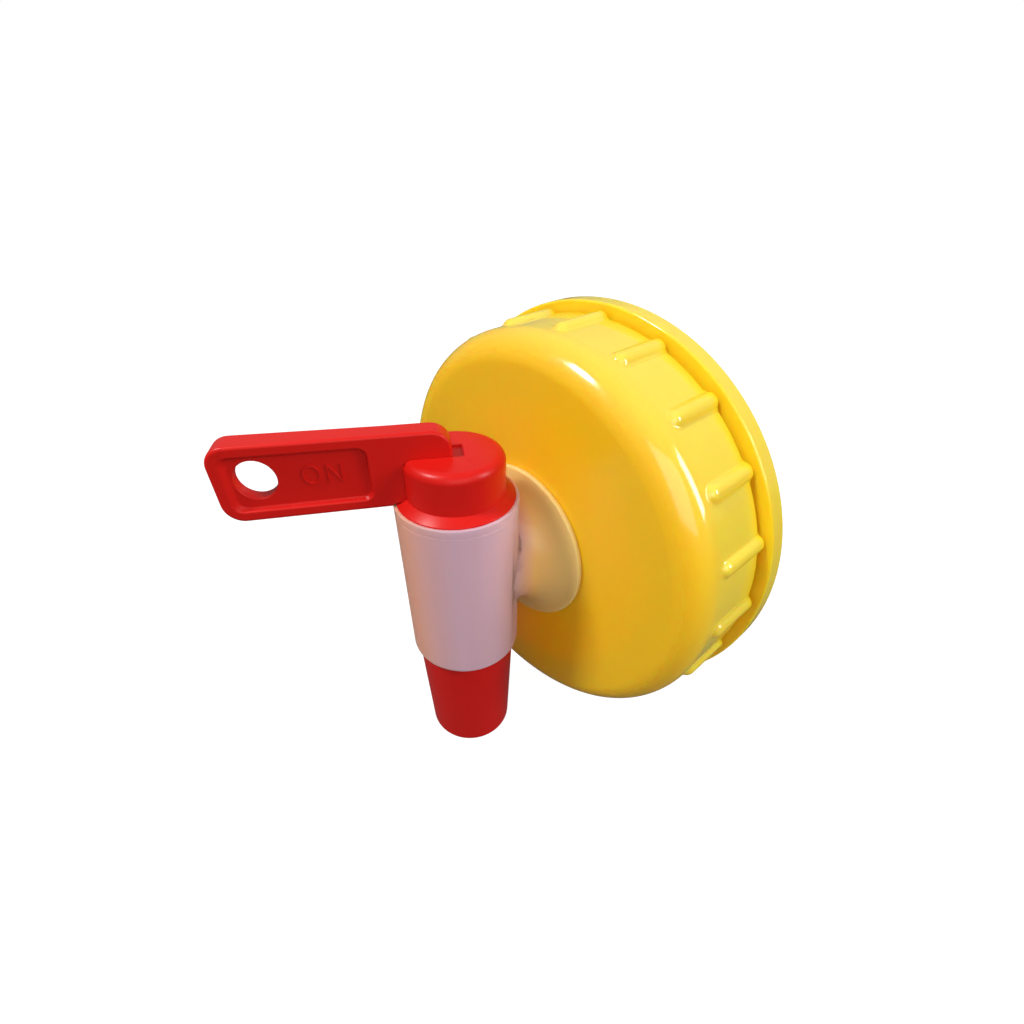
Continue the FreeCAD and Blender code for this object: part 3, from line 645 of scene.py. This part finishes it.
# A cutting tool stands out of the piece by this much.
room = 0.001
on_axis = Vector((0, barrel_axis.y, 0))
bore = rod("bore", "Z", on_axis, BARREL_FOOT - room, BARREL_TOP + room, BARREL_BORE, BARREL_STEPS)
carve(tap_body, bore)
port = turned(
    "port",
    "Y",
    Vector((0, 0, 0)),
    [
        (barrel_axis.y, 0),
        (barrel_axis.y, PORT_RADIUS),
        (barrel_axis.y + BARREL_RADIUS + PORT_WALL, PORT_RADIUS),
        (barrel_axis.y + BARREL_RADIUS + PORT_WALL, SPIGOT_BORE),
        (spigot_end + room, SPIGOT_BORE),
        (spigot_end + room, 0),
    ],
    BARREL_STEPS,
)
carve(tap_body, port)
finish_piece(tap_body, natural_plastic)
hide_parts("tap_body")
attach(tap_body, "cap")

# Retaining nut: a plain hexagon of the same natural plastic, screwed on the spigot by hand from
# inside the cap. Its corners are turned off towards the container.
NUT_CORNER_RADIUS = 0.0136
NUT_BEVEL = 0.0009
NUT_EDGE = 0.00018
NUT_CLEARANCE = 0.00005
NUT_STEPS = 96
nut_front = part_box("retaining_nut")[0].y
nut_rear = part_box("retaining_nut")[1].y
nut_bore = SPIGOT_RADIUS + NUT_CLEARANCE

on_cap_axis = Vector((0, 0, 0))
nut = rod("retaining_nut_hexagon", "Y", on_cap_axis, nut_front, nut_rear, NUT_CORNER_RADIUS, 6)
nut_turning = turned(
    "nut_turning",
    "Y",
    Vector((0, 0, 0)),
    [
        (nut_front - room, 0),
        (nut_front - room, NUT_CORNER_RADIUS + room),
        (nut_rear - NUT_BEVEL / 2 - room / 2, NUT_CORNER_RADIUS + room),
        (nut_rear + NUT_BEVEL / 2, NUT_CORNER_RADIUS - 2 * NUT_BEVEL),
        (nut_rear + NUT_BEVEL / 2, 0),
    ],
    NUT_STEPS,
)
carve(nut, nut_turning, "INTERSECT")
nut_hole = rod("nut_hole", "Y", on_cap_axis, nut_front - room, nut_rear + room, nut_bore, NUT_STEPS)
carve(nut, nut_hole)
soften(nut, NUT_EDGE, 3)
finish_piece(nut, natural_plastic)
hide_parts("retaining_nut")
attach(nut, "cap")

# Plug: a turned-looking moulding of red polypropylene in one piece from the head to the spout.
# Its rim flange lies over the mouth of the barrel, its hollow core has a window for the liquid
# and two grooves for the seals, and a shoulder under the barrel keeps it from lifting out.
ON_TURN = -math.radians(turn_joint["range_deg"][0])
FLANGE_RADIUS = 0.0086
FLANGE_TOP = BARREL_TOP + 0.00035
FLANGE_LIP = 0.0001
FLANGE_NOSE = 0.00015
FLANGE_TILT = 30
HEAD_FOOT = FLANGE_TOP + 0.00067
HEAD_RADIUS = 0.00715
HEAD_TOP = 0.02165
HEAD_ROUNDING = 0.0014
CORE_RADIUS = 0.0077
SHOULDER_RADIUS = 0.00825
SHOULDER_TOP = BARREL_FOOT - 0.0001
SPOUT_RADIUS = 0.00745
SPOUT_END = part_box("plug")[0].z
SPOUT_ROUNDING = 0.0007
OUTLET_BORE = 0.006
OUTLET_TOP = SPOUT_END + 0.0202
PASSAGE_RADIUS = 0.005
PASSAGE_TOP = 0.0065
WINDOW_RADIUS = 0.0049
WINDOW_REACH = 0.009
WINDOW_STEPS = 64
GROOVE_FLOOR = 0.00625
GROOVE_FOOT = 0.0109
GROOVE_TOP = 0.0125
SLOT_WIDTH = 0.0035
SLOT_REACH = 0.0095
NOTCH_START = 0.001
NOTCH_END = 0.00125
NOTCH_DEPTH = 0.00028
SLOT_END = 0.00013
MOUTH_ROUNDING = 0.00055
MORTISE_FRONT = 0.0046
MORTISE_REAR = 0.00013
MORTISE_LOW = 0.01035
PLUG_EDGE = 0.00028

PLUG_REDS = ((0.60, 0.009, 0.006, 1), (0.54, 0.008, 0.005, 1))
plug_red, red_shader = moulded_plastic(
    "plug_red",
    PLUG_REDS,
    roughness=0.31,
    peel=0.02,
    subsurface=0.0,
    subsurface_radius=(0.0009, 0.0003, 0.0002),
)[:2]
red_shader.inputs["Specular IOR Level"].default_value = 0.18

plug_section = [(SPOUT_END, OUTLET_BORE)]
plug_section += arc(SPOUT_END + SPOUT_ROUNDING, SPOUT_RADIUS - SPOUT_ROUNDING, SPOUT_ROUNDING, 180, 90, 8)
plug_section += [
    (SHOULDER_TOP, SHOULDER_RADIUS),
    (SHOULDER_TOP, CORE_RADIUS),
    (-GROOVE_TOP, CORE_RADIUS),
    (-GROOVE_TOP, GROOVE_FLOOR),
    (-GROOVE_FOOT, GROOVE_FLOOR),
    (-GROOVE_FOOT, CORE_RADIUS),
    (GROOVE_FOOT, CORE_RADIUS),
    (GROOVE_FOOT, GROOVE_FLOOR),
    (GROOVE_TOP, GROOVE_FLOOR),
    (GROOVE_TOP, CORE_RADIUS),
    (BARREL_TOP, CORE_RADIUS),
    (BARREL_TOP, FLANGE_RADIUS),
]
plug_section += arc(BARREL_TOP + FLANGE_LIP, FLANGE_RADIUS - FLANGE_NOSE, FLANGE_NOSE, 90, FLANGE_TILT, 3)
plug_section.append((HEAD_FOOT, HEAD_RADIUS))
plug_section += arc(HEAD_TOP - HEAD_ROUNDING, HEAD_RADIUS - HEAD_ROUNDING, HEAD_ROUNDING, 90, 0, 10)
plug_section += [
    (HEAD_TOP, 0),
    (PASSAGE_TOP, 0),
    (PASSAGE_TOP, PASSAGE_RADIUS),
    (OUTLET_TOP + OUTLET_BORE - PASSAGE_RADIUS, PASSAGE_RADIUS),
    (OUTLET_TOP, OUTLET_BORE),
    (SPOUT_END, OUTLET_BORE),
]
plug = turned("plug_moulding", "Z", on_axis, plug_section, BARREL_STEPS)


def block(name, low, high):
    """A block between two corners, given from the plug's axis."""
    deselect_all()
    middle = (Vector(low) + Vector(high)) / 2 + on_axis
    bpy.ops.mesh.primitive_cube_add(size=1, location=middle)
    piece = bpy.context.object
    piece.name = name
    piece.scale = Vector(high) - Vector(low)
    bpy.ops.object.transform_apply(location=True, scale=True)
    return piece


def put_at_rest(piece):
    """Turns a piece from ON about the barrel's axis to where the photograph has it."""
    centre = Matrix.Translation(on_axis)
    piece.data.transform(centre @ Matrix.Rotation(ON_TURN, 4, "Z") @ centre.inverted())


half_slot = SLOT_WIDTH / 2
slot_floor = FLANGE_TOP + 0.00003
slot = block("slot", (-SLOT_REACH, -half_slot, slot_floor), (-SLOT_END, half_slot, HEAD_TOP + room))
carve(plug, slot)
notch = block(
    "notch",
    (-NOTCH_START, -half_slot, HEAD_TOP - NOTCH_DEPTH),
    (NOTCH_END, half_slot, HEAD_TOP + room),
)
carve(plug, notch)


def on_slot_mouth(point):
    """True where the slot's walls come out of the side of the head."""
    on_wall = abs(abs(point.y - barrel_axis.y) - half_slot) < NEAR
    on_outside = point.x < -HEAD_RADIUS / 2 and point.z > HEAD_FOOT - NEAR
    return on_wall and on_outside and point.z < HEAD_TOP - 0.0003


soften_where(plug, MOUTH_ROUNDING, 4, 34, on_slot_mouth)
mortise = block(
    "mortise",
    (-MORTISE_FRONT, -half_slot, MORTISE_LOW),
    (-MORTISE_REAR, half_slot, HEAD_TOP + room),
)
carve(plug, mortise)
window_end = barrel_axis.y + WINDOW_REACH
window = rod("window", "Y", on_cap_axis, barrel_axis.y, window_end, WINDOW_RADIUS, WINDOW_STEPS)
carve(plug, window)


def off_the_flange(point):
    """False on the flange and its crease with the head, and on the slot and the notch."""
    on_flange = BARREL_TOP - NEAR < point.z < HEAD_FOOT + NEAR
    on_wall = abs(abs(point.y - barrel_axis.y) - half_slot) < NEAR and point.z > 0
    return not on_flange and not on_wall


soften_where(plug, PLUG_EDGE, 3, 34, off_the_flange)
put_at_rest(plug)
finish_piece(plug, plug_red)
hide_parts("plug")
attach(plug, "turning_plug")

# Lever: a flat blade of the same red plastic, moulded by itself and pressed with its tang into
# the slot of the plug's head. A pocket on each face leaves a thin web in a frame, with an eye for
# a tie near the tip. ON stands raised in one pocket and OFF in the other.
BLADE_THICKNESS = 0.0034
BLADE_HEIGHT = 0.01035
BLADE_REACH = 0.03135
BLADE_ROOT = 0.00015
STEP_START = 0.0088
STEP_END = 0.00895
STEP_DROP = 0.00033
TIP_DROP = 0.00073
TIP_GROWTH = 0.4
BLADE_CORNER = 0.0028
ROOT_CORNER = 0.0022
BLADE_EDGE = 0.00045
FRAME_WIDTH = 0.0015
WEB_THICKNESS = 0.0020
POCKET_START = 0.0112
POCKET_CORNER = 0.0013
POCKET_DRAFT = 0.00025
TIP_DRAFT = 0.0007
POCKET_EDGE = 0.0002
TANG_LENGTH = 0.0044
TANG_DEPTH = 0.0046
TANG_EDGE = 0.0002
EYE_RADIUS = 0.00275
EYE_FROM_END = 0.0053
EYE_STEPS = 96
WORD_HEIGHT = 0.0029
WORD_RELIEF = 0.00022
WORD_MIDDLE = -0.0173
WORD_WIDTH = 0.8
WORD_SPACING = 1.22
WORD_THINNING = 0.0001
WORD_EDGE = 0.00003
CAPITAL_SHARE = 0.69

blade_high = FLANGE_TOP + BLADE_HEIGHT
eye_height = FLANGE_TOP + BLADE_HEIGHT / 2


def plate(name, left, right, low, high, thickness, corners):
    """A plate across the Y direction whose corners are rounded. Each corner is given as
    (left or right, low or high, radius)."""
    deselect_all()
    middle = Vector(((left + right) / 2, 0, (low + high) / 2)) + on_axis
    bpy.ops.mesh.primitive_plane_add(size=1, location=middle, rotation=(math.pi / 2, 0, 0))
    piece = bpy.context.object
    piece.name = name
    piece.scale = (right - left, high - low, 1)
    bpy.ops.object.transform_apply(location=True, rotation=True, scale=True)
    for across, up, size in corners:
        spot = Vector((right if across == "right" else left, 0, high if up == "high" else low)) + on_axis
        for vertex in piece.data.vertices:
            vertex.select = (vertex.co - spot).length < NEAR
        bpy.ops.object.mode_set(mode="EDIT")
        bpy.ops.mesh.select_mode(type="VERT")
        bpy.ops.mesh.bevel(offset=size, segments=12, affect="VERTICES")
        bpy.ops.mesh.select_all(action="DESELECT")
        bpy.ops.object.mode_set(mode="OBJECT")
    bpy.ops.object.mode_set(mode="EDIT")
    bpy.ops.mesh.select_all(action="SELECT")
    bpy.ops.mesh.extrude_region_move(TRANSFORM_OT_translate={"value": (0, thickness, 0)})
    bpy.ops.mesh.select_all(action="SELECT")
    bpy.ops.transform.translate(value=(0, -thickness / 2, 0))
    bpy.ops.mesh.normals_make_consistent(inside=False)
    bpy.ops.object.mode_set(mode="OBJECT")
    return piece


lever = plate(
    "lever_blade",
    -BLADE_REACH,
    -BLADE_ROOT,
    FLANGE_TOP,
    blade_high,
    BLADE_THICKNESS,
    [("left", "low", BLADE_CORNER), ("left", "high", BLADE_CORNER), ("right", "high", ROOT_CORNER)],
)
soften(lever, BLADE_EDGE, 5)
# Outside the head the blade steps down over the barrel's rim. Towards its tip it grows deeper and,
# on the OFF side, thicker.
for cut_place in (-STEP_START, -STEP_END):
    deselect_all()
    lever.select_set(True)
    bpy.context.view_layer.objects.active = lever
    bpy.ops.object.mode_set(mode="EDIT")
    bpy.ops.mesh.select_all(action="SELECT")
    bpy.ops.mesh.bisect(plane_co=(cut_place, 0, 0), plane_no=(1, 0, 0), threshold=0.000001)
    bpy.ops.object.mode_set(mode="OBJECT")


def deepen(piece):
    """Lets the lower half of a piece follow the blade's lower edge."""
    for vertex in piece.data.vertices:
        if vertex.co.z < eye_height and vertex.co.x < -STEP_END + NEAR:
            share = (-STEP_END - vertex.co.x) / (BLADE_REACH - STEP_END)
            vertex.co.z -= STEP_DROP + (TIP_DROP - STEP_DROP) * share


deepen(lever)
for vertex in lever.data.vertices:
    if vertex.co.x < -STEP_START and vertex.co.y > on_axis.y:
        share = (-STEP_START - vertex.co.x) / (BLADE_REACH - STEP_START)
        vertex.co.y = on_axis.y + (vertex.co.y - on_axis.y) * (1 + TIP_GROWTH * share)
tang = block(
    "tang",
    (-BLADE_ROOT - TANG_LENGTH, -BLADE_THICKNESS / 2, FLANGE_TOP - TANG_DEPTH),
    (-BLADE_ROOT, BLADE_THICKNESS / 2, FLANGE_TOP + BLADE_EDGE),
)
soften(tang, TANG_EDGE, 2)
carve(lever, tang, "UNION")

pocket_depth = (BLADE_THICKNESS - WEB_THICKNESS) / 2
pocket_far = -BLADE_REACH + FRAME_WIDTH
all_corners = [(across, up, POCKET_CORNER) for across in ("left", "right") for up in ("low", "high")]
for side in (-1, 1):
    cutter = plate(
        "pocket_cutter",
        pocket_far,
        -POCKET_START,
        FLANGE_TOP + FRAME_WIDTH,
        blade_high - FRAME_WIDTH,
        pocket_depth * 2,
        all_corners,
    )
    cutter.data.transform(Matrix.Translation((0, side * BLADE_THICKNESS / 2, 0)))
    # The walls of the pocket lean outwards so that the piece leaves its mould.
    pocket_floor = side * WEB_THICKNESS / 2 + on_axis.y
    middle = Vector(((pocket_far - POCKET_START) / 2, 0, eye_height))
    for vertex in cutter.data.vertices:
        inwards = 1 if abs(vertex.co.y - pocket_floor) < NEAR else -1
        vertex.co.x += inwards * (TIP_DRAFT if vertex.co.x < middle.x else -POCKET_DRAFT)
        vertex.co.z -= inwards * math.copysign(POCKET_DRAFT, vertex.co.z - middle.z)
    deepen(cutter)
    carve(lever, cutter)
eye_middle = Vector((-BLADE_REACH + EYE_FROM_END, 0, eye_height))
eye_front = on_axis.y - BLADE_THICKNESS
eye_rear = on_axis.y + BLADE_THICKNESS
eye = rod("eye", "Y", eye_middle, eye_front, eye_rear, EYE_RADIUS, EYE_STEPS)
carve(lever, eye)


def outside_the_step(point):
    """True on the free part of the blade."""
    return point.x < -STEP_END


soften_where(lever, POCKET_EDGE, 3, 26, outside_the_step)

words = []
for word, side, turn in (("ON", -1, 0), ("OFF", 1, math.pi)):
    deselect_all()
    face = on_axis.y + side * (WEB_THICKNESS / 2 - WORD_RELIEF / 4)
    bpy.ops.object.text_add(location=(WORD_MIDDLE, face, eye_height), rotation=(math.pi / 2, 0, turn))
    letters = bpy.context.object
    letters.name = "lever_word_" + word
    letters.data.body = word
    letters.data.align_x = "CENTER"
    letters.data.align_y = "CENTER"
    letters.data.size = WORD_HEIGHT / CAPITAL_SHARE
    letters.data.extrude = WORD_RELIEF
    letters.data.offset = -WORD_THINNING
    letters.data.space_character = WORD_SPACING
    letters.scale.x = WORD_WIDTH
    letters.data.bevel_depth = WORD_EDGE
    bpy.ops.object.convert(target="MESH")
    bpy.ops.object.transform_apply(location=True, rotation=True, scale=True)
    words.append(letters)
lever = joined([lever] + words, "lever_blade")
put_at_rest(lever)
finish_piece(lever, plug_red)
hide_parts("lever")
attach(lever, "turning_plug")

# Plug seals: two rings of black rubber that sit in the plug's grooves and run in the barrel.
for seal_name in ("upper_plug_seal", "lower_plug_seal"):
    seal_node = frame["nodes"][seal_name]
    seal_node.data.materials.clear()
    seal_node.data.materials.append(seal_rubber)

# Studio: a wide white floor at the spout's end and a white surround, a key light from above and
# the left, a window behind on the right, and weak fills on the right and behind.
FLOOR_SIZE = 6.0
FLOOR_GREY = 0.15
FLOOR_GLOW = 0.95
FLOOR_IN_GLOSS = 0.1
SURROUND_STRENGTH = 0.3
floor_level = SPOUT_END - 0.00002
deselect_all()
bpy.ops.mesh.primitive_plane_add(size=FLOOR_SIZE, location=(0, 0, floor_level))
floor = bpy.context.object
floor.name = "studio_floor"
floor_white = bpy.data.materials.new("studio_floor_white")
floor_white.use_nodes = True
floor_nodes = floor_white.node_tree.nodes
floor_links = floor_white.node_tree.links
floor_nodes["Principled BSDF"].inputs["Base Color"].default_value = (FLOOR_GREY, FLOOR_GREY, FLOOR_GREY, 1)
floor_nodes["Principled BSDF"].inputs["Roughness"].default_value = 0.9
floor_glow = floor_nodes.new("ShaderNodeEmission")
floor_glow.inputs["Color"].default_value = (1, 1, 1, 1)
floor_sum = floor_nodes.new("ShaderNodeAddShader")
floor_path = floor_nodes.new("ShaderNodeLightPath")
floor_share = floor_nodes.new("ShaderNodeMath")
floor_share.operation = "MULTIPLY"
floor_share.inputs[1].default_value = FLOOR_GLOW
floor_links.new(floor_path.outputs["Is Camera Ray"], floor_share.inputs[0])
floor_links.new(floor_share.outputs["Value"], floor_glow.inputs["Strength"])
floor_links.new(floor_nodes["Principled BSDF"].outputs["BSDF"], floor_sum.inputs[0])
floor_links.new(floor_glow.outputs["Emission"], floor_sum.inputs[1])
# In the plastic's gloss the floor is an even dim grey, without the lamps' patches and shadows.
floor_gloss = floor_nodes.new("ShaderNodeEmission")
floor_gloss.inputs["Color"].default_value = (FLOOR_IN_GLOSS, FLOOR_IN_GLOSS, FLOOR_IN_GLOSS, 1)
floor_choice = floor_nodes.new("ShaderNodeMixShader")
floor_links.new(floor_path.outputs["Is Glossy Ray"], floor_choice.inputs["Fac"])
floor_links.new(floor_sum.outputs["Shader"], floor_choice.inputs[1])
floor_links.new(floor_gloss.outputs["Emission"], floor_choice.inputs[2])
floor_links.new(floor_choice.outputs["Shader"], floor_nodes["Material Output"].inputs["Surface"])
floor.data.materials.append(floor_white)

world = bpy.data.worlds.new("studio_surround")
bpy.context.scene.world = world
world.use_nodes = True
world_nodes = world.node_tree.nodes
world_links = world.node_tree.links
surround = world_nodes["Background"]
surround.inputs["Color"].default_value = (1, 1, 1, 1)
surround.inputs["Strength"].default_value = SURROUND_STRENGTH
white = world_nodes.new("ShaderNodeBackground")
white.inputs["Color"].default_value = (1, 1, 1, 1)
white.inputs["Strength"].default_value = 1.0
seen = world_nodes.new("ShaderNodeLightPath")
seen_white = world_nodes.new("ShaderNodeMath")
seen_white.operation = "MAXIMUM"
world_links.new(seen.outputs["Is Camera Ray"], seen_white.inputs[0])
world_links.new(seen.outputs["Is Transmission Ray"], seen_white.inputs[1])
seen_at_all = world_nodes.new("ShaderNodeMath")
seen_at_all.operation = "MAXIMUM"
world_links.new(seen_white.outputs["Value"], seen_at_all.inputs[0])
# The gloss sees the surround grow from grey at the horizon to white overhead.
GREY_BELOW = 0.25
WHITE_ABOVE = 0.95
direction = world_nodes.new("ShaderNodeTexCoord")
direction_parts = world_nodes.new("ShaderNodeSeparateXYZ")
world_links.new(direction.outputs["Generated"], direction_parts.inputs["Vector"])
overhead = world_nodes.new("ShaderNodeMapRange")
overhead.inputs["From Min"].default_value = GREY_BELOW
overhead.inputs["From Max"].default_value = WHITE_ABOVE
world_links.new(direction_parts.outputs["Z"], overhead.inputs["Value"])
seen_in_gloss = world_nodes.new("ShaderNodeMath")
seen_in_gloss.operation = "MULTIPLY"
world_links.new(seen.outputs["Is Glossy Ray"], seen_in_gloss.inputs[0])
world_links.new(overhead.outputs["Result"], seen_in_gloss.inputs[1])
world_links.new(seen_in_gloss.outputs["Value"], seen_at_all.inputs[1])
world_mix = world_nodes.new("ShaderNodeMixShader")
world_links.new(seen_at_all.outputs["Value"], world_mix.inputs["Fac"])
world_links.new(surround.outputs["Background"], world_mix.inputs[1])
world_links.new(white.outputs["Background"], world_mix.inputs[2])
world_links.new(world_mix.outputs["Shader"], world_nodes["World Output"].inputs["Surface"])

LAMP_AIM = Vector((0, -0.02, 0))
LAMP_DISTANCE = 0.6


def lamp(name, azimuth, elevation, width, height, power):
    """A soft box aimed at the tap. Azimuth 0 is in front of the cap, and 90 on the side of +X."""
    light = bpy.data.lights.new(name, "AREA")
    light.shape = "RECTANGLE"
    light.size = width
    light.size_y = height
    light.energy = power
    stand = bpy.data.objects.new(name, light)
    bpy.context.collection.objects.link(stand)
    around = Matrix.Rotation(math.radians(azimuth), 3, "Z")
    upward = Matrix.Rotation(math.radians(-elevation), 3, "X")
    place = around @ upward @ Vector((0, -LAMP_DISTANCE, 0))
    stand.location = LAMP_AIM + place
    stand.rotation_euler = (-place).to_track_quat("-Z", "Y").to_euler()
    return stand


lamp("key_light", -25, 54, 0.11, 0.11, 2.9)
lamp("right_window", 121, 27, 0.16, 0.3, 1.9)
lamp("right_fill", 62, 28, 0.5, 0.4, 1.25)
rear_fill = lamp("rear_fill", 212, 8, 0.4, 0.3, 1.6)
# Its reflection would hide the band's edge against the white.
rear_fill.visible_glossy = False

# Camera: where the photographer stood, close to the cap and above it, fitted to the outlines of
# the cap, the barrel and the lever in the photograph.
CAMERA_PLACE = (0.051486, -0.064856, 0.054187)
CAMERA_AZIMUTH = math.radians(49.85)
CAMERA_ELEVATION = math.radians(39.39)
CAMERA_ROLL = math.radians(-1.26)
CAMERA_LENS = 18.134
CAMERA_SHIFT = (0.01978, 0.04792)
camera_data = bpy.data.cameras.new("camera")
camera_data.sensor_width = 36
camera_data.lens = CAMERA_LENS
camera_data.shift_x = CAMERA_SHIFT[0]
camera_data.shift_y = CAMERA_SHIFT[1]
camera_data.clip_start = 0.001
camera = bpy.data.objects.new("camera", camera_data)
bpy.context.collection.objects.link(camera)
aim = Matrix.Rotation(CAMERA_AZIMUTH, 4, "Z") @ Matrix.Rotation(math.pi / 2 - CAMERA_ELEVATION, 4, "X")
camera.matrix_world = Matrix.Translation(CAMERA_PLACE) @ aim @ Matrix.Rotation(CAMERA_ROLL, 4, "Z")
bpy.context.scene.camera = camera
bpy.context.scene.view_settings.view_transform = "Standard"
